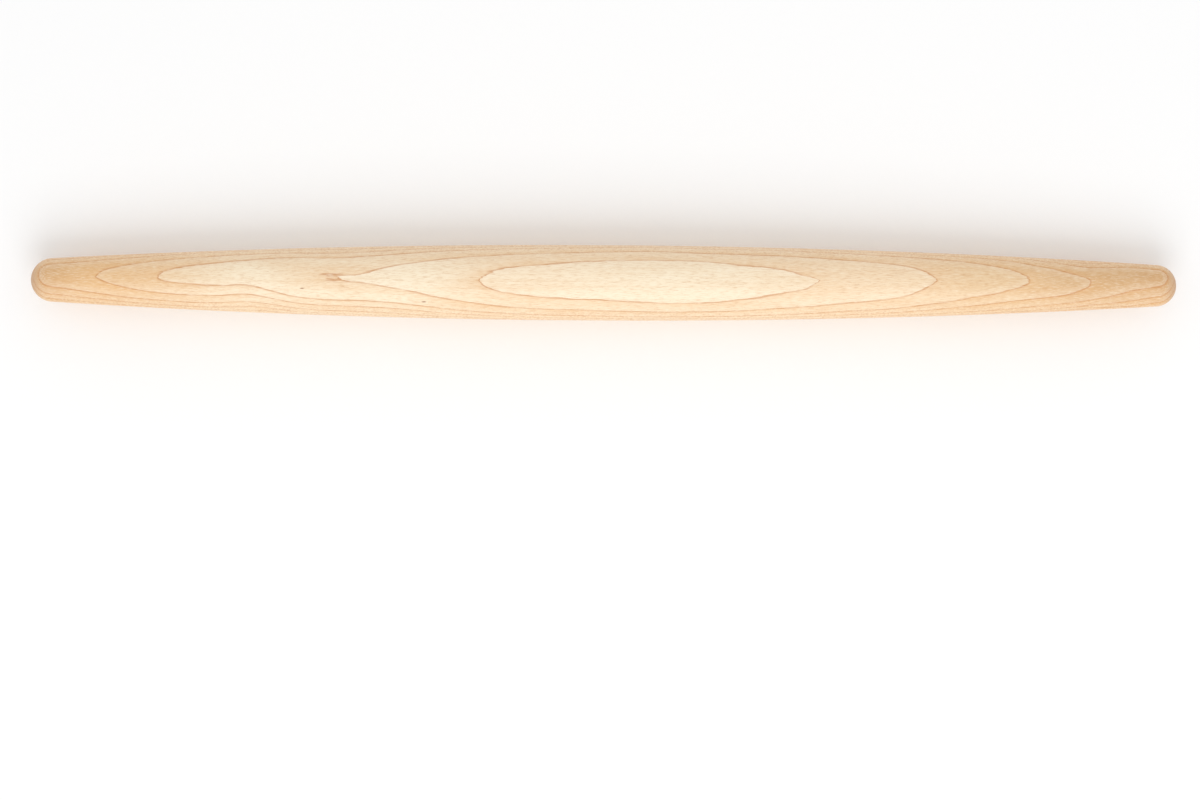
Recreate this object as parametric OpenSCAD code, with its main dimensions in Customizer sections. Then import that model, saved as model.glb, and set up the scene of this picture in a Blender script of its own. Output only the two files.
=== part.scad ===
// A French rolling pin, turned from one length of maple.
// It lies along X with its belly touching the worktop at Z = 0.
// X = 0 is half way between the two tips.

/* [Barrel] */
// Length from tip to tip
pin_length = 508; // [400:1:600]
// Diameter of the thickest stretch, the belly
belly_d = 33.4; // [28:0.1:48]
// Diameter that the bow would reach at square-cut tips, as the mean of both ends
tip_d = 17.7; // [16:0.1:24]
// Length of the straight land that sanding leaves on the crest of the belly
belly_land = 40; // [10:1:60]
// How far the belly lies from mid-length, towards the fatter left tip
belly_shift = 3.5; // [-12:0.5:12]

/* [Ends] */
// How round each end is: 1 is a half ball, and less leaves a flat face with a rounded rim
end_roundness = 1; // [0.3:0.05:1]

/* [Hidden] */

// Longest chord of the bow, and the largest turn per chord of the round ends
bow_chord = 10;
end_step = 3;

belly_r = belly_d / 2;
land_half = belly_land / 2;
tip_x = pin_length / 2;

// Radius of the long arc that falls from belly to tip over half the length
bow_fall = (belly_d - tip_d) / 2;
bow_r = (pow(tip_x, 2) + pow(bow_fall, 2)) / (2 * bow_fall);

// The bow's centre lies across the axis, and puts the arc through the ends of the land
bow_centre_y = belly_r - sqrt(pow(bow_r, 2) - pow(land_half, 2));

// Points of an arc about c with radius r, from angle a0 to angle a1, in n chords.
// The first point is left out, because the stretch before it has drawn it.
function arc(c, r, a0, a1, n) =
    [for (i = [1:n]) let (a = a0 + (a1 - a0) * i / n) c + r * [cos(a), sin(a)]];

// Upper outline from the tip on the axis to the near end of the land.
// The tip lies at +X, and the belly lies at X = belly_x.
function half_outline(belly_x) =
    let (
        reach = tip_x - belly_x,
        bow_c = [belly_x, bow_centre_y],
        // Radius of the half ball that touches the bow from inside
        ball_r = (pow(bow_r, 2) - pow(bow_centre_y, 2) - pow(reach, 2)) / (2 * (bow_r - reach)),
        end_r = end_roundness * ball_r,
        // The end arc touches the bow and the face across the tip
        face_r = bow_centre_y + sqrt(pow(bow_r - end_r, 2) - pow(reach - end_r, 2)),
        end_c = [tip_x - end_r, face_r],
        a_touch = atan2(end_c[1] - bow_c[1], end_c[0] - bow_c[0]),
        a_land = 90 - asin(land_half / bow_r),
        bow_length = bow_r * (a_land - a_touch) * PI / 180
    )
    concat(
        [[tip_x, 0]],
        end_roundness < 1 ? [[tip_x, face_r]] : [],
        arc(end_c, end_r, 0, a_touch, ceil(a_touch / end_step)),
        arc(bow_c, bow_r, a_touch, a_land, ceil(bow_length / bow_chord))
    );

function mirrored(points) = [for (i = [len(points) - 1:-1:0]) [-points[i][0], points[i][1]]];

// The turned body: one piece of wood, with no handle, axle or bearing
module rolling_pin() {
    outline = concat(half_outline(-belly_shift), mirrored(half_outline(belly_shift)));
    color("burlywood")
        translate([0, 0, belly_r])
            rotate([0, 90, 0])
                rotate_extrude($fn = 180)
                    polygon([for (p = outline) [p[1], p[0]]]);
}

rolling_pin();
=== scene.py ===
"""A French rolling pin of hard maple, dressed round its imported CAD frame.

The pin lies along X with its belly on Z = 0. Lengths are metres unless a name ends in _mm.
"""

import logging
import math
from dataclasses import dataclass, field
from enum import Enum

import bpy
import numpy as np
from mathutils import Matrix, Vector


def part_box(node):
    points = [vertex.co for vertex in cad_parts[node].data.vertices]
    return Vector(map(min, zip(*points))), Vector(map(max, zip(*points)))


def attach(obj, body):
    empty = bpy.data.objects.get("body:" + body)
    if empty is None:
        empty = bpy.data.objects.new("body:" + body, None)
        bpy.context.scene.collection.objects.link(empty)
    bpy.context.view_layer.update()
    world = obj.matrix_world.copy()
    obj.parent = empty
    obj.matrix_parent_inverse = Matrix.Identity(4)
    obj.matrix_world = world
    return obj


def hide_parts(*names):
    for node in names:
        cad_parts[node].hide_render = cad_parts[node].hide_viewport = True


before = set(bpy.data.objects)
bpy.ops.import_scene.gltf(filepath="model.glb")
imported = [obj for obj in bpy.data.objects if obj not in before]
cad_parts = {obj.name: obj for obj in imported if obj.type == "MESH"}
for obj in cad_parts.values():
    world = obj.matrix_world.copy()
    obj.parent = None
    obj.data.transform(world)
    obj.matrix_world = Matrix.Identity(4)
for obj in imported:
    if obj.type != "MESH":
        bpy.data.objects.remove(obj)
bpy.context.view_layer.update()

LOG = logging.getLogger("rolling_pin")
MM = 0.001
TURN = 2 * math.pi

Rgb = tuple[int, int, int]
Triple = tuple[float, float, float]
Curve = tuple[tuple[float, float], ...]


class Flank(Enum):
    """Lines along the pin on which its grain is set out, as degrees from the top towards the near side."""

    FAR = -60
    TOP = 0
    NEAR = 75
    UNDER = 150
    BACK = 225


def linear(red: int, green: int, blue: int) -> tuple[float, float, float, float]:
    """Turns a colour as it looks on a screen, 0 to 255, into Blender's linear RGBA.

    Args:
        red: Red, 0 to 255.
        green: Green, 0 to 255.
        blue: Blue, 0 to 255.

    Returns:
        The linear colour with full alpha.
    """
    def channel(value: int) -> float:
        """Undoes the sRGB curve of one channel."""
        v = value / 255
        return v / 12.92 if v <= 0.04045 else ((v + 0.055) / 1.055) ** 2.4
    return channel(red), channel(green), channel(blue), 1.0


def smooth_curve(points: Curve, at: np.ndarray) -> np.ndarray:
    """A smooth curve through given points.

    Each stretch is a cubic, whose slope at a point is the mean slope of the chords beside it.

    Args:
        points: Pairs of station and value, with rising stations.
        at: Stations to read the curve at.

    Returns:
        The value at each station.
    """
    x, y = np.array(points, float).T
    chord = np.diff(y) / np.diff(x)
    slope = np.concatenate([chord[:1], (chord[1:] + chord[:-1]) / 2, chord[-1:]])
    i = np.clip(np.searchsorted(x, at) - 1, 0, len(x) - 2)
    step = x[i + 1] - x[i]
    t = np.clip((at - x[i]) / step, 0, 1)
    rise = y[i] * (1 + 2 * t) * (1 - t) ** 2 + y[i + 1] * t ** 2 * (3 - 2 * t)
    return rise + step * (slope[i] * t * (1 - t) ** 2 - slope[i + 1] * t ** 2 * (1 - t))


@dataclass(frozen=True)
class GrainFigure:
    """How the annual rings lie in the blank, as nearly level sheets from the bark side down.

    A sheet meets the surface where radius * cos(angle) - lie = height. The lie is how far the sheets
    rise above level: a curve along the pin on each flank, joined round the pin by two waves. The back
    flank is the mean of its neighbours, a little lower.
    """

    heights_mm: tuple[float, ...] = (
        20.0, 14.2, 10.6, 7.2, 4.9, 2.0, -0.6, -3.2, -7.2, -9.8, -11.8, -13.7, -15.6, -18.0, -20.5, -23.0)
    far_mm: Curve = (
        (-254, 5), (-213, 4.7), (-175, 3.2), (-140, 3.4), (-115, 4.3), (-70, 2), (-27, 0.7), (0, -0.4),
        (18, -0.7), (50, -0.1), (89, 0.1), (127, 1.2), (177, 2.4), (200, 4.9), (213, 6.2), (231, 4.1),
        (254, 4))
    top_mm: Curve = (
        (-254, 6.6), (-231, 6.4), (-195, 5.1), (-169, 5.5), (-157, 5.9), (-137, 4.5), (-127, 4.4),
        (-106, 4.8), (-89, 4.5), (-71, 3.4), (-44, 1.5), (0, 0.3), (35, -0.4), (49, -0.3), (67, 0.5),
        (91, 1.4), (106, 1.7), (127, 2.2), (145, 3.5), (160, 4.3), (188, 5.2), (200, 5.3), (216, 6.2),
        (231, 7), (254, 7))
    near_mm: Curve = (
        (-254, 8.8), (-231, 7.8), (-195, 6.5), (-177, 6.4), (-169, 6.9), (-155, 8.3), (-146, 7.8),
        (-137, 6.5), (-127, 5.8), (-98, 5.2), (-71, 3.3), (-44, 1.8), (0, 0.3), (27, -0.1), (67, 0.3),
        (89, 0.9), (106, 1.7), (145, 3), (177, 4.4), (200, 6.1), (216, 7.3), (231, 7.1), (254, 9))
    under_mm: Curve = (
        (-254, 6.8), (-231, 6.2), (-195, 4.3), (-155, 3.8), (-137, 3.3), (-89, 1.7), (-44, 0.9), (0, 0),
        (49, 0.3), (89, 0.9), (127, 1.4), (145, 2), (177, 3.9), (216, 6.1), (254, 5.3))
    back_drop_mm: float = 0.3

    def lie_mm(self, x_mm: np.ndarray, angle: np.ndarray) -> np.ndarray:
        """How far the sheets rise above level: a constant and two waves round the pin, through five flanks.

        Args:
            x_mm: Stations along the pin, in millimetres.
            angle: Angles from the top towards the near side.

        Returns:
            The rise in millimetres.
        """
        far, top = smooth_curve(self.far_mm, x_mm), smooth_curve(self.top_mm, x_mm)
        near, under = smooth_curve(self.near_mm, x_mm), smooth_curve(self.under_mm, x_mm)
        back = (far + under) / 2 - self.back_drop_mm
        flanks = np.stack([far, top, near, under, back]).reshape(len(Flank), -1)
        at = np.radians([flank.value for flank in Flank])
        shares = np.linalg.inv(self.waves(at)) @ flanks
        return np.einsum("nk,kn->n", self.waves(angle.ravel()), shares).reshape(x_mm.shape)

    @staticmethod
    def waves(angle: np.ndarray) -> np.ndarray:
        """The constant, one-wave and two-wave terms at each angle."""
        return np.stack([np.ones_like(angle), np.cos(angle), np.sin(angle),
                         np.cos(2 * angle), np.sin(2 * angle)], axis=-1)

    def count(self, x_mm: np.ndarray, angle: np.ndarray, radius_mm: np.ndarray) -> np.ndarray:
        """Counts the rings from the bark side: each ring line lies where the count is a whole number.

        Args:
            x_mm: Stations along the pin, in millimetres.
            angle: Angles from the top towards the near side.
            radius_mm: Radius of the pin at each station.

        Returns:
            The ring count at each point.
        """
        level = radius_mm * np.cos(angle) - self.lie_mm(x_mm, angle)
        heights = np.array(self.heights_mm)
        return np.interp(-level, -heights, np.arange(len(heights), dtype=float))


class Nodes:
    """A short hand for laying out shader nodes."""

    def __init__(self, tree: bpy.types.NodeTree) -> None:
        """Keeps the node tree to work on."""
        self.tree = tree

    def add(self, kind: str, **settings: object) -> bpy.types.Node:
        """Adds a node of a kind, with its settings.

        Args:
            kind: Blender's name of the node type.
            settings: Properties to set on it.

        Returns:
            The new node.
        """
        node = self.tree.nodes.new(kind)
        for name, value in settings.items():
            setattr(node, name, value)
        return node

    def plug(self, socket: bpy.types.NodeSocket, value: object) -> None:
        """Links an output to a socket, or writes a plain value there."""
        if isinstance(value, bpy.types.NodeSocket):
            self.tree.links.new(value, socket)
        else:
            socket.default_value = value

    def math(self, operation: str, *values: object) -> bpy.types.NodeSocket:
        """One step of arithmetic.

        Args:
            operation: Blender's name of the operation.
            values: Numbers or outputs.

        Returns:
            The result.
        """
        node = self.add("ShaderNodeMath", operation=operation)
        for socket, value in zip(node.inputs, values):
            self.plug(socket, value)
        return node.outputs[0]

    def remap(self, value: object, low: float, high: float, to_low: float = 0.0,
              to_high: float = 1.0) -> bpy.types.NodeSocket:
        """Maps a range onto another with soft ends.

        Args:
            value: The value to map.
            low: Where the range starts.
            high: Where the range ends.
            to_low: Result at low.
            to_high: Result at high.

        Returns:
            The mapped value.
        """
        node = self.add("ShaderNodeMapRange", interpolation_type="SMOOTHSTEP")
        for name, entry in (("Value", value), ("From Min", low), ("From Max", high),
                            ("To Min", to_low), ("To Max", to_high)):
            self.plug(node.inputs[name], entry)
        return node.outputs["Result"]

    def mix(self, factor: object, one: object, two: object) -> bpy.types.NodeSocket:
        """Mixes two colours.

        Args:
            factor: Share of the second colour.
            one: First colour.
            two: Second colour.

        Returns:
            The mixed colour.
        """
        node = self.add("ShaderNodeMix", data_type="RGBA")
        self.plug(node.inputs["Factor"], factor)
        self.plug(node.inputs["A"], one)
        self.plug(node.inputs["B"], two)
        return node.outputs["Result"]

    def noise(self, per_mm: Triple, detail: float) -> bpy.types.NodeSocket:
        """Noise fixed in the wood, with its own pitch along, across and up.

        Args:
            per_mm: Waves per millimetre along X, Y and Z.
            detail: Octaves of finer noise.

        Returns:
            The noise, about 0.5.
        """
        place = self.add("ShaderNodeTexCoord")
        stretch = self.add("ShaderNodeMapping")
        stretch.inputs["Scale"].default_value = [pitch / MM for pitch in per_mm]
        self.plug(stretch.inputs["Vector"], place.outputs["Object"])
        noise = self.add("ShaderNodeTexNoise", noise_dimensions="3D")
        noise.inputs["Scale"].default_value = 1.0
        noise.inputs["Detail"].default_value = detail
        self.plug(noise.inputs["Vector"], stretch.outputs["Vector"])
        return noise.outputs["Fac"]

    def spot(self, centre_mm: Triple, half_mm: Triple) -> bpy.types.NodeSocket:
        """A soft spot in the wood, shaped as an ellipsoid.

        Args:
            centre_mm: Its centre.
            half_mm: Its half sizes.

        Returns:
            1 at its centre and 0 outside.
        """
        place = self.add("ShaderNodeTexCoord").outputs["Object"]
        away = self.add("ShaderNodeVectorMath", operation="SUBTRACT")
        self.plug(away.inputs[0], place)
        away.inputs[1].default_value = [value * MM for value in centre_mm]
        scaled = self.add("ShaderNodeVectorMath", operation="DIVIDE")
        self.plug(scaled.inputs[0], away.outputs["Vector"])
        scaled.inputs[1].default_value = [value * MM for value in half_mm]
        length = self.add("ShaderNodeVectorMath", operation="LENGTH")
        self.plug(length.inputs[0], scaled.outputs["Vector"])
        core = 0.3
        return self.remap(length.outputs["Value"], core, 1.0, 1.0, 0.0)


@dataclass(frozen=True)
class Stain:
    """A colour laid on the wood where a pattern goes from one level to another, up to a share."""

    colour: Rgb
    start: float
    full: float
    share: float

    def amount(self, n: Nodes, pattern: bpy.types.NodeSocket) -> bpy.types.NodeSocket:
        """The share of the stain at each place of the pattern."""
        return n.remap(pattern, self.start, self.full, 0.0, self.share)

    def lay(self, n: Nodes, wood: bpy.types.NodeSocket, pattern: bpy.types.NodeSocket,
            where: bpy.types.NodeSocket | None = None) -> bpy.types.NodeSocket:
        """Lays the stain over a colour.

        Args:
            n: The node tree to add to.
            wood: The colour under it.
            pattern: The pattern that it follows.
            where: Weight of the stain from place to place, if it isn't the same everywhere.

        Returns:
            The stained colour.
        """
        amount = self.amount(n, pattern)
        if where is not None:
            amount = n.math("MULTIPLY", amount, where)
        return n.mix(amount, wood, linear(*self.colour))


@dataclass(frozen=True)
class Fleck:
    """A small dark dash in the wood: its centre, and its half sizes along, across and up."""

    centre_mm: Triple
    half_mm: Triple


@dataclass(frozen=True)
class Weave:
    """A noise drawn out along the grain: waves per millimetre along, across and up, and its octaves."""

    per_mm: Triple
    detail: float

    def socket(self, n: Nodes) -> bpy.types.NodeSocket:
        """The noise, about 0.5."""
        return n.noise(self.per_mm, self.detail)


@dataclass(frozen=True)
class Lines:
    """The ring lines: a thin dark edge on the bark side of each ring, and a honey shade that fades below it.

    Widths are millimetres on the surface, and shares are from 0 to 1.
    """

    core_mm: float = 0.55
    core_start: float = 0.3
    core_end: float = 1.4
    core_share: float = 0.72
    lip_mm: float = 0.25
    lip_share: float = 0.5
    shade_mm: float = 5.0
    shade_share: float = 0.50
    shade_range: tuple[float, float] = (0.25, 0.75)
    late_part: float = 0.55
    late_share: float = 0.08
    drift: float = 0.20
    faintest: float = 0.35


@dataclass(frozen=True)
class MapleFinish:
    """Hard maple with a clear satin oil: cream wood, orange-brown ring lines, fine fibres and ray flecks."""

    # The colours from cream down to brown below set the colour along the pin. They are partly oil darkening
    # into the ends and partly painted shade where the light falls off towards the tips.
    cream: Rgb = (254, 238, 209)
    cream_middle: Rgb = (254, 234, 203)
    cream_right: Rgb = (251, 228, 195)
    straw_oil_and_shade: Rgb = (238, 207, 165)
    straw_right_oil_and_shade: Rgb = (220, 181, 134)
    tan_oil_and_shade: Rgb = (236, 196, 146)
    brown_end_oil_and_shade: Rgb = (214, 170, 120)
    honey: Rgb = (232, 176, 110)
    line: Rgb = (194, 116, 50)
    fleck: Rgb = (150, 92, 54)
    lines: Lines = Lines()

    wander: Weave = Weave((0.05, 0.25, 0.25), 3.0)
    streaks: Weave = Weave((0.012, 1.1, 1.1), 3.0)
    fibres: Weave = Weave((0.30, 4.5, 4.5), 3.0)
    pores: Weave = Weave((0.45, 8.0, 8.0), 1.0)
    rays: Weave = Weave((1.1, 2.4, 0.22), 2.0)
    clouds: Weave = Weave((0.03, 0.09, 0.09), 2.0)

    flank_stain: Stain = Stain((234, 190, 134), 0.35, 1.0, 0.5)
    cloud_stain: Stain = Stain((236, 196, 146), 0.4, 0.75, 0.16)
    bright_stain: Stain = Stain((255, 240, 216), 5.0, 0.4, 0.22)
    streak_stain: Stain = Stain((226, 176, 120), 0.46, 0.74, 0.20)
    fibre_dark: Stain = Stain((205, 150, 96), 0.50, 0.68, 0.42)
    fibre_light: Stain = Stain((255, 243, 222), 0.48, 0.32, 0.40)
    ray_dark: Stain = Stain((198, 144, 92), 0.54, 0.68, 0.34)
    ray_light: Stain = Stain((255, 236, 204), 0.46, 0.33, 0.40)
    pore_stain: Stain = Stain((150, 92, 54), 0.71, 0.80, 0.5)
    end_stain: Stain = Stain((172, 126, 86), 247.0, 254.0, 0.4)

    flecks: tuple[Fleck, ...] = (
        Fleck((-79.0, -9.2, 29.8), (1.5, 0.5, 0.7)), Fleck((-132.6, -3.6, 30.9), (1.3, 0.4, 0.6)))
    fleck_share: float = 0.75
    ray_facing: tuple[float, float] = (0.55, 0.97)
    ray_faintest: float = 0.12
    length_mm: float = 508.0
    roughness: float = 0.46
    roughness_rise: float = 0.06
    roughness_fall: float = 0.04
    bump_strength: float = 0.12
    bump_mm: float = 0.05

    def material(self) -> bpy.types.Material:
        """Builds the wood from noise and from the ring attributes of the mesh.

        Returns:
            The material.
        """
        material = bpy.data.materials.new("maple")
        material.use_nodes = True
        material.node_tree.nodes.clear()
        n = Nodes(material.node_tree)
        shader = n.add("ShaderNodeBsdfPrincipled")
        out = n.add("ShaderNodeOutputMaterial")
        n.plug(out.inputs["Surface"], shader.outputs["BSDF"])
        relief = self.fibres.socket(n)
        n.plug(shader.inputs["Base Color"], self.colour(n, relief))
        rough, smooth = self.roughness + self.roughness_rise, self.roughness - self.roughness_fall
        n.plug(shader.inputs["Roughness"], n.remap(relief, 0.3, 0.7, rough, smooth))
        bump = n.add("ShaderNodeBump")
        bump.inputs["Strength"].default_value = self.bump_strength
        bump.inputs["Distance"].default_value = self.bump_mm * MM
        n.plug(bump.inputs["Height"], relief)
        n.plug(shader.inputs["Normal"], bump.outputs["Normal"])
        return material

    def colour(self, n: Nodes, fibres: bpy.types.NodeSocket) -> bpy.types.NodeSocket:
        """Lays the wood's colour, from the broad colour along the pin (partly painted shade towards the tips)
        down to the finest flecks.

        Args:
            n: The node tree to add to.
            fibres: The fibre pattern.

        Returns:
            The colour.
        """
        side = n.add("ShaderNodeAttribute", attribute_name="side").outputs["Fac"]
        place = n.add("ShaderNodeSeparateXYZ")
        n.plug(place.inputs[0], n.add("ShaderNodeTexCoord").outputs["Object"])
        along = n.math("DIVIDE", place.outputs["X"], MM)
        wander, streaks = self.wander.socket(n), self.streaks.socket(n)

        # Colour along the pin: partly oil darkening into the ends, partly painted shade falling off towards
        # the tips.
        wood = self.oil_and_shade_tone(n, along)
        wood = self.flank_stain.lay(n, wood, side)
        wood = self.cloud_stain.lay(n, wood, self.clouds.socket(n))
        wood = self.ring_lines(n, wood, wander, streaks)
        wood = self.streak_stain.lay(n, wood, streaks)
        wood = self.fibre_dark.lay(n, wood, fibres)
        wood = self.fibre_light.lay(n, wood, fibres)
        facing = n.remap(side, *self.ray_facing, self.ray_faintest, 1.0)
        rays = self.rays.socket(n)
        wood = self.ray_dark.lay(n, wood, rays, facing)
        wood = self.ray_light.lay(n, wood, rays, facing)
        wood = self.pore_stain.lay(n, wood, self.pores.socket(n))
        for fleck in self.flecks:
            spot = n.spot(fleck.centre_mm, fleck.half_mm)
            wood = n.mix(n.math("MULTIPLY", spot, self.fleck_share), wood, linear(*self.fleck))
        return self.end_stain.lay(n, wood, n.math("ABSOLUTE", along))

    def oil_and_shade_tone(self, n: Nodes, along: bpy.types.NodeSocket) -> bpy.types.NodeSocket:
        """The broad colour along the pin: cream in the middle, darkening towards brown at the tips. The
        darkening is partly oil soaking into the ends and partly painted shade where the light falls off
        towards the tips.

        Args:
            n: The node tree to add to.
            along: Station along the pin, in millimetres.

        Returns:
            The colour.
        """
        # Cream in the middle and darker towards the tips, and darker still at the right end. This is partly
        # oil in the ends and partly painted shade.
        oil_and_shade_stops = ((0.0, self.brown_end_oil_and_shade), (0.06, self.tan_oil_and_shade), (0.2, self.cream), (0.32, self.cream),
                 (0.44, self.cream_middle), (0.56, self.cream), (0.74, self.cream_right),
                 (0.84, self.straw_oil_and_shade), (0.93, self.straw_right_oil_and_shade), (1.0, self.brown_end_oil_and_shade))
        oil_and_shade_tone = n.add("ShaderNodeValToRGB")
        ramp = oil_and_shade_tone.color_ramp
        ramp.interpolation = "EASE"
        for element, (position, shade) in zip(ramp.elements, (oil_and_shade_stops[0], oil_and_shade_stops[-1])):
            element.position, element.color = position, linear(*shade)
        for position, shade in oil_and_shade_stops[1:-1]:
            ramp.elements.new(position).color = linear(*shade)
        n.plug(oil_and_shade_tone.inputs["Fac"], n.math("ADD", n.math("DIVIDE", along, self.length_mm), 0.5))
        return oil_and_shade_tone.outputs["Color"]

    def ring_lines(self, n: Nodes, wood: bpy.types.NodeSocket, wander: bpy.types.NodeSocket,
                   streaks: bpy.types.NodeSocket) -> bpy.types.NodeSocket:
        """Draws the annual rings where the ring count is a whole number.

        The count's fraction over its slope is the way along the surface from the line above, and one
        less the fraction over its slope is the way to the line below.

        Args:
            n: The node tree to add to.
            wood: The colour under the lines.
            wander: Slow noise that makes the lines wander.
            streaks: Long noise that makes the lines faint here and there.

        Returns:
            The colour with its rings.
        """
        q = self.lines
        ring = n.add("ShaderNodeAttribute", attribute_name="ring").outputs["Fac"]
        slope = n.add("ShaderNodeAttribute", attribute_name="ring_slope").outputs["Fac"]
        shifted = n.math("ADD", ring, n.math("MULTIPLY", n.math("SUBTRACT", wander, 0.5), q.drift))
        part = n.math("FRACT", shifted)
        below = n.math("DIVIDE", part, slope)
        ahead = n.math("DIVIDE", n.math("SUBTRACT", 1.0, part), slope)
        fade = n.math("EXPONENT", n.math("DIVIDE", below, -q.shade_mm))
        shade = n.math("MULTIPLY", fade, n.remap(wander, 0.3, 0.7, *q.shade_range))
        late = n.math("MULTIPLY", n.remap(part, 0.0, q.late_part, 1.0, 0.0), q.late_share)
        honeyed = n.math("ADD", n.math("MULTIPLY", shade, q.shade_share), late)
        wood = n.mix(honeyed, wood, linear(*self.honey))
        strength = n.remap(streaks, 0.3, 0.65, q.faintest, 1.0)
        core = n.remap(below, q.core_mm * q.core_start, q.core_mm * q.core_end, 1.0, 0.0)
        lip = n.remap(ahead, 0.0, q.lip_mm, q.lip_share, 0.0)
        edge = n.math("MAXIMUM", n.math("MULTIPLY", core, strength), lip)
        wood = n.mix(n.math("MULTIPLY", edge, q.core_share), wood, linear(*self.line))
        return self.bright_stain.lay(n, wood, ahead)


@dataclass
class TurnedPin:
    """The turned body: a land on the belly, a bow falling to each side of it, and a half ball on each end."""

    half_length: float
    belly_r: float
    tip_r: float = 17.7 / 2 * MM
    land_half: float = 20 * MM
    belly_shift: float = 3.5 * MM
    rings_along: int = 900
    columns_round: int = 108
    ball_share: int = 8
    least_slope: float = 0.008
    grain: GrainFigure = field(default_factory=GrainFigure)
    finish: MapleFinish = field(default_factory=MapleFinish)

    def half_outline(self, belly_x: float, count: int) -> np.ndarray:
        """Outline from the middle of the land to the tip at +X.

        The bow is an arc that falls from belly to tip over half the length, and goes through the land's
        end. The half ball touches it from inside and ends on the axis.

        Args:
            belly_x: Where the land's middle lies.
            count: Points on the outline.

        Returns:
            Rows of station and radius.
        """
        fall = self.belly_r - self.tip_r
        bow_r = (self.half_length ** 2 + fall ** 2) / (2 * fall)
        centre = self.belly_r - math.sqrt(bow_r ** 2 - self.land_half ** 2)
        reach = self.half_length - belly_x
        ball_r = (bow_r ** 2 - centre ** 2 - reach ** 2) / (2 * (bow_r - reach))
        ball_x = self.half_length - ball_r
        touch = math.atan2(-centre, ball_x - belly_x)
        touch_x = ball_x + ball_r * math.cos(touch)
        on_ball = count // self.ball_share
        x = np.linspace(belly_x, touch_x, count - on_ball, endpoint=False)
        bow = centre + np.sqrt(bow_r ** 2 - (x - belly_x) ** 2)
        bow = np.where(x - belly_x < self.land_half, self.belly_r, bow)
        turn = np.linspace(touch, 0, on_ball)
        ball = np.stack([ball_x + ball_r * np.cos(turn), ball_r * np.sin(turn)], axis=1)
        return np.concatenate([np.stack([x, bow], axis=1), ball])

    def outline(self) -> np.ndarray:
        """Outline from the left tip to the right tip, both on the axis.

        Returns:
            Rows of station and radius.
        """
        half = self.rings_along // 2
        right = self.half_outline(-self.belly_shift, half)
        left = self.half_outline(self.belly_shift, half)[1:] * (-1, 1)
        return np.concatenate([left[::-1], right])

    def mesh(self) -> bpy.types.Mesh:
        """Turns the outline round the axis: a grid of stations by angles, closed by a fan at each tip.

        Returns:
            The mesh with its ring attributes and its UV map.
        """
        line = self.outline()[1:-1]
        angle = np.arange(self.columns_round) * TURN / self.columns_round
        x, turn = np.meshgrid(line[:, 0], angle, indexing="ij")
        radius = np.repeat(line[:, 1:], self.columns_round, axis=1)
        grid = np.stack([x, -radius * np.sin(turn), self.belly_r + radius * np.cos(turn)], axis=-1)
        tips = np.array([[-self.half_length, 0, self.belly_r], [self.half_length, 0, self.belly_r]])
        points = np.concatenate([grid.reshape(-1, 3), tips])
        rows, cols = grid.shape[:2]
        at = np.arange(rows * cols).reshape(rows, cols)
        beside = np.roll(at, -1, axis=1)
        quads = np.stack([at[:-1], beside[:-1], beside[1:], at[1:]], axis=-1).reshape(-1, 4)
        left = np.stack([np.full(cols, rows * cols), beside[0], at[0]], axis=-1)
        right = np.stack([np.full(cols, rows * cols + 1), at[-1], beside[-1]], axis=-1)
        mesh = bpy.data.meshes.new("rolling_pin_wood")
        mesh.from_pydata(points.tolist(), [], quads[:, ::-1].tolist() + left[:, ::-1].tolist()
                         + right[:, ::-1].tolist())
        mesh.shade_smooth()
        self.write_rings(mesh, x / MM, turn, radius / MM)
        self.write_map(mesh)
        return mesh

    def write_rings(self, mesh: bpy.types.Mesh, x_mm: np.ndarray, turn: np.ndarray,
                    radius_mm: np.ndarray) -> None:
        """Writes the ring count, how fast it changes along the surface, and how far a point faces sideways.

        Args:
            mesh: The mesh to write to.
            x_mm: Station of each grid point.
            turn: Angle of each grid point.
            radius_mm: Radius at each grid point.
        """
        count = self.grain.count(x_mm, turn, radius_mm)
        step_angle = TURN / self.columns_round
        along = np.gradient(count, x_mm[:, 0], axis=0)
        wrapped = np.concatenate([count[:, -1:], count, count[:, :1]], axis=1)
        around = (wrapped[:, 2:] - wrapped[:, :-2]) / (2 * step_angle * radius_mm)
        slope = np.maximum(np.hypot(along, around), self.least_slope)
        side = np.abs(np.sin(turn))
        for name, values in (("ring", count), ("ring_slope", slope), ("side", side)):
            at_tips = [values[row].mean(keepdims=True) for row in (0, -1)]
            flat = np.concatenate([values.ravel(), *at_tips])
            layer = mesh.attributes.new(name, "FLOAT", "POINT")
            layer.data.foreach_set("value", flat.astype(np.float32))

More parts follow.
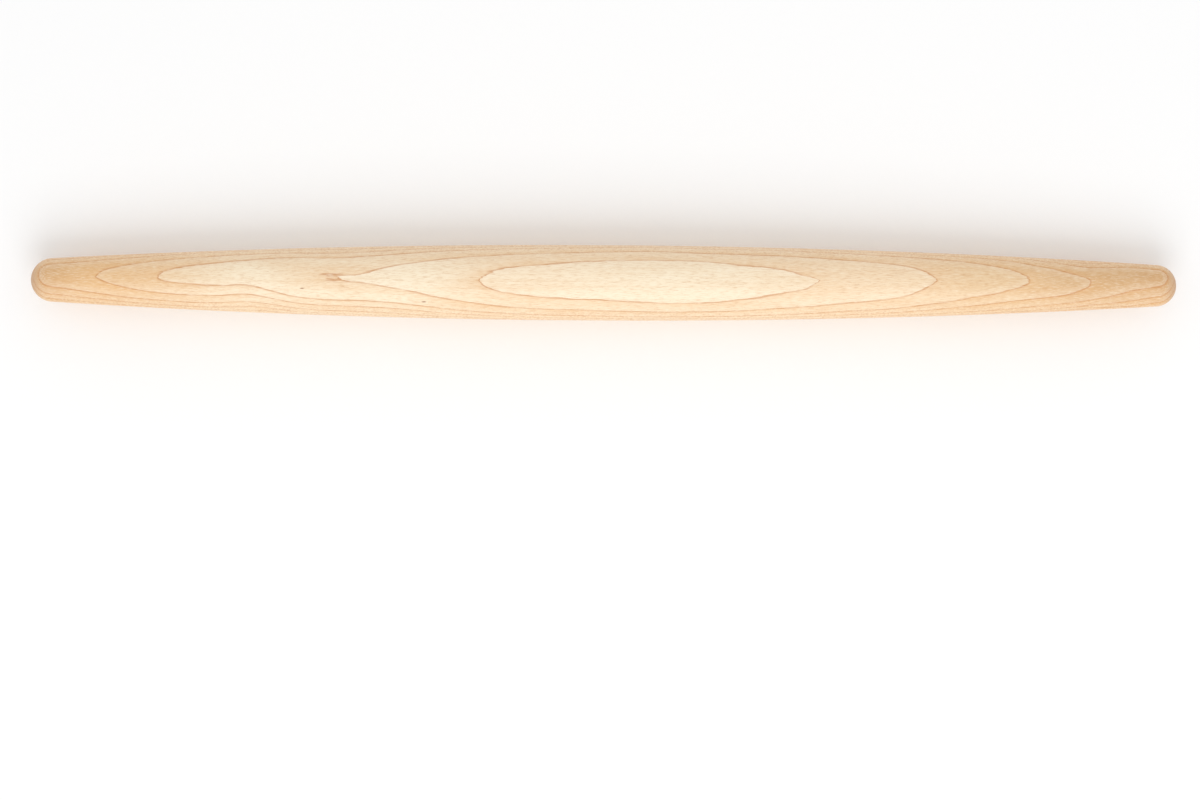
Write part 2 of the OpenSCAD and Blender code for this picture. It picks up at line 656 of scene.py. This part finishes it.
    def write_map(self, mesh: bpy.types.Mesh) -> None:
        """Unrolls the surface into two stacked strips, one for each half of the length.

        The way along a strip is the station, and the way across it is the angle. A face that crosses
        the bottom has its small angles moved up a turn, and a tip takes the mean angle of its face.

        Args:
            mesh: The mesh to write to.
        """
        corners = len(mesh.loops)
        vertex = np.empty(corners, np.int32)
        mesh.loops.foreach_get("vertex_index", vertex)
        place = np.empty(len(mesh.vertices) * 3, np.float32)
        mesh.vertices.foreach_get("co", place)
        place = place.reshape(-1, 3)[vertex]
        size = np.empty(len(mesh.polygons), np.int32)
        mesh.polygons.foreach_get("loop_total", size)
        face = np.repeat(np.arange(len(size)), size)
        mid_x = np.bincount(face, place[:, 0]) / size
        angle = np.arctan2(-place[:, 1], place[:, 2] - self.belly_r) / TURN + 0.5
        on_axis = np.hypot(place[:, 1], place[:, 2] - self.belly_r) < 0.01 * MM
        first = np.full(len(size), 9.0)
        np.minimum.at(first, face[~on_axis], angle[~on_axis])
        last = np.zeros(len(size))
        np.maximum.at(last, face[~on_axis], angle[~on_axis])
        crosses = (last - first) > 0.5
        angle = np.where(crosses[face] & (angle < 0.5), angle + 1, angle)
        middle = np.bincount(face[~on_axis], angle[~on_axis], len(size)) / np.bincount(face[~on_axis])
        angle = np.where(on_axis, middle[face], angle)
        right = mid_x[face] > 0
        strip, margin, left_foot, right_foot = 0.42, 0.01, 0.03, 0.53
        u = np.where(right, place[:, 0], place[:, 0] + self.half_length) / self.half_length
        v = np.where(right, right_foot, left_foot) + angle * strip
        layer = mesh.uv_layers.new(name="OFBake")
        spread = np.stack([margin + (1 - 2 * margin) * u, v], axis=1)
        layer.data.foreach_set("uv", spread.astype(np.float32).ravel())

    def build(self) -> bpy.types.Object:
        """Builds and dresses the pin, and lets it stand for its CAD node.

        Returns:
            The piece.
        """
        piece = bpy.data.objects.new("rolling_pin_wood", self.mesh())
        bpy.context.scene.collection.objects.link(piece)
        piece.data.materials.append(self.finish.material())
        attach(piece, "root")
        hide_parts("rolling_pin")
        return piece


@dataclass
class Studio:
    """A pale floor under soft light, seen from straight above."""

    lens_mm: float = 101.4
    distance: float = 1.5
    look_at: tuple[float, float] = (-1.3 * MM, -52.0 * MM)
    roll_degrees: float = 0.305
    daylight: float = 0.82
    lamp_place: Triple = (0.1, -1.1, 1.3)
    lamp_side: float = 1.2
    lamp_watts: float = 9.0
    floor_half: float = 6.0
    floor_tone: float = 0.99
    floor_roughness: float = 0.9
    floor_gloss: float = 0.1

    def camera(self, axis_z: float) -> None:
        """Sets the camera above the pin.

        Args:
            axis_z: Height of the pin's axis.
        """
        data = bpy.data.cameras.new("camera")
        data.lens = self.lens_mm
        camera = bpy.data.objects.new("camera", data)
        bpy.context.scene.collection.objects.link(camera)
        camera.location = Vector((*self.look_at, axis_z + self.distance))
        camera.rotation_euler = (0, 0, math.radians(self.roll_degrees))
        bpy.context.scene.camera = camera

    def world(self) -> None:
        """White for the camera, and a plain level of light for the rest."""
        world = bpy.data.worlds.new("studio")
        world.use_nodes = True
        world.node_tree.nodes.clear()
        n = Nodes(world.node_tree)
        path = n.add("ShaderNodeLightPath")
        light = n.add("ShaderNodeBackground")
        light.inputs["Strength"].default_value = self.daylight
        white = n.add("ShaderNodeBackground")
        white.inputs["Color"].default_value = (1, 1, 1, 1)
        light.inputs["Color"].default_value = (1, 1, 1, 1)
        blend = n.add("ShaderNodeMixShader")
        n.plug(blend.inputs[0], path.outputs["Is Camera Ray"])
        n.plug(blend.inputs[1], light.outputs[0])
        n.plug(blend.inputs[2], white.outputs[0])
        n.plug(n.add("ShaderNodeOutputWorld").inputs["Surface"], blend.outputs[0])
        bpy.context.scene.world = world

    def lamp(self) -> None:
        """Adds a soft square lamp on the near side, facing the pin."""
        data = bpy.data.lights.new("near lamp", "AREA")
        data.size, data.energy = self.lamp_side, self.lamp_watts
        lamp = bpy.data.objects.new("near lamp", data)
        lamp.location = Vector(self.lamp_place)
        lamp.rotation_euler = (-Vector(self.lamp_place)).to_track_quat("-Z", "Y").to_euler()
        bpy.context.scene.collection.objects.link(lamp)

    def floor(self) -> bpy.types.Object:
        """Lays the pale floor on Z = 0.

        Returns:
            The floor.
        """
        half = self.floor_half
        corners = [(-half, -half, 0), (half, -half, 0), (half, half, 0), (-half, half, 0)]
        mesh = bpy.data.meshes.new("floor")
        mesh.from_pydata(corners, [], [(0, 1, 2, 3)])
        floor = bpy.data.objects.new("floor", mesh)
        bpy.context.scene.collection.objects.link(floor)
        material = bpy.data.materials.new("floor")
        material.use_nodes = True
        shader = material.node_tree.nodes["Principled BSDF"]
        shader.inputs["Base Color"].default_value = (*[self.floor_tone] * 3, 1)
        shader.inputs["Roughness"].default_value = self.floor_roughness
        shader.inputs["Specular IOR Level"].default_value = self.floor_gloss
        floor.data.materials.append(material)
        return floor

    def build(self, axis_z: float) -> None:
        """Sets up camera, world, lamps and floor.

        Args:
            axis_z: Height of the pin's axis.
        """
        self.camera(axis_z)
        bpy.context.scene.view_settings.view_transform = "Standard"
        self.world()
        self.lamp()
        self.floor()


def main() -> None:
    """Builds the studio and the pin from the frame's box."""
    logging.basicConfig(level=logging.INFO)
    low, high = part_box("rolling_pin")
    belly_r = (high.z - low.z) / 2
    Studio().build(belly_r)
    pin = TurnedPin(half_length=(high.x - low.x) / 2, belly_r=belly_r)
    piece = pin.build()
    LOG.info("%s: %d faces", piece.name, len(piece.data.polygons))


if __name__ == "__main__":
    main()
